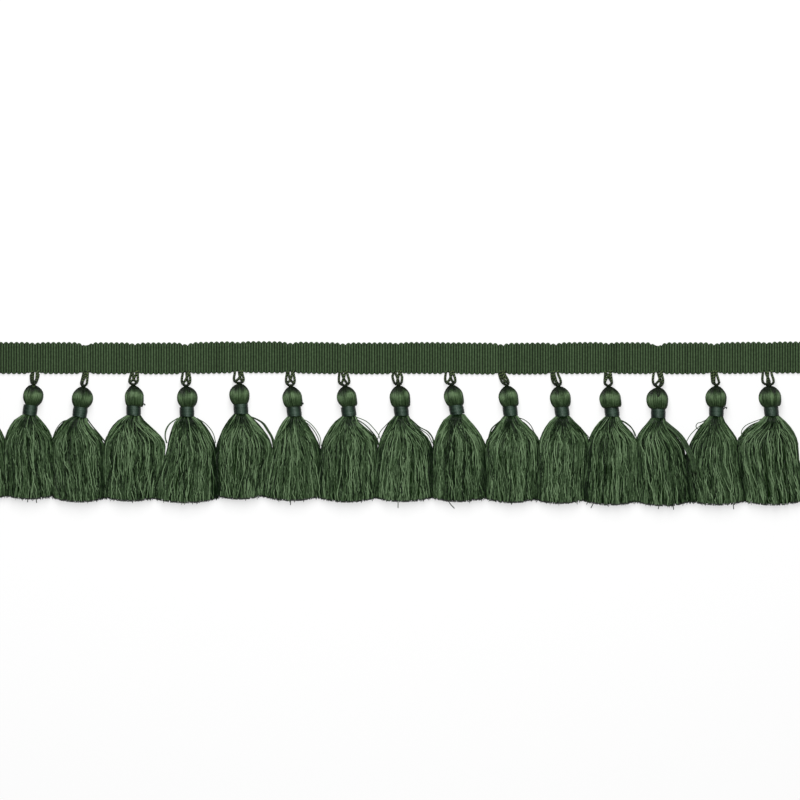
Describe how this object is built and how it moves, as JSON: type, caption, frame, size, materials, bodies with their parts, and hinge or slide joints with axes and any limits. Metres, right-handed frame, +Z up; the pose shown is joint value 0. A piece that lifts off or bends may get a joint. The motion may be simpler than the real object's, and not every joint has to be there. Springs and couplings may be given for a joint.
{
  "type": "silk tassel trim",
  "caption": "Ribbed heading tape with a row of small silk tassels, each hung by crossed cord loops, with a thread-covered ball head, a bound neck and an open skirt.",
  "frame": {"origin": "middle of the heading tape's back face, which lies on the table", "axes": "+X along the tape, +Y from the skirts to the tape, +Z up from the table, towards the face side"},
  "size_m": [0.4026, 0.0785, 0.0106],
  "materials": {
    "heading": "ribbed tape, dull sheen",
    "loop_cord": "fine twisted cord",
    "silk": "lustrous untwisted thread",
    "neck_binding": "smooth wound thread, satin"
  },
  "bodies": {
    "root": {"heading_tape": "heading", "loop_01": "loop_cord", "loop_02": "loop_cord", "loop_03": "loop_cord", "loop_04": "loop_cord", "loop_05": "loop_cord", "loop_06": "loop_cord", "loop_07": "loop_cord", "loop_08": "loop_cord", "loop_09": "loop_cord", "loop_10": "loop_cord", "loop_11": "loop_cord", "loop_12": "loop_cord", "loop_13": "loop_cord", "loop_14": "loop_cord", "loop_15": "loop_cord", "loop_16": "loop_cord", "tassel_01": "silk", "tassel_02": "silk", "tassel_03": "silk", "tassel_04": "silk", "tassel_05": "silk", "tassel_06": "silk", "tassel_07": "silk", "tassel_08": "silk", "tassel_09": "silk", "tassel_10": "silk", "tassel_11": "silk", "tassel_12": "silk", "tassel_13": "silk", "tassel_14": "silk", "tassel_15": "silk", "tassel_16": "silk", "binding_01": "neck_binding", "binding_02": "neck_binding", "binding_03": "neck_binding", "binding_04": "neck_binding", "binding_05": "neck_binding", "binding_06": "neck_binding", "binding_07": "neck_binding", "binding_08": "neck_binding", "binding_09": "neck_binding", "binding_10": "neck_binding", "binding_11": "neck_binding", "binding_12": "neck_binding", "binding_13": "neck_binding", "binding_14": "neck_binding", "binding_15": "neck_binding", "binding_16": "neck_binding"}
  },
  "joints": []
}
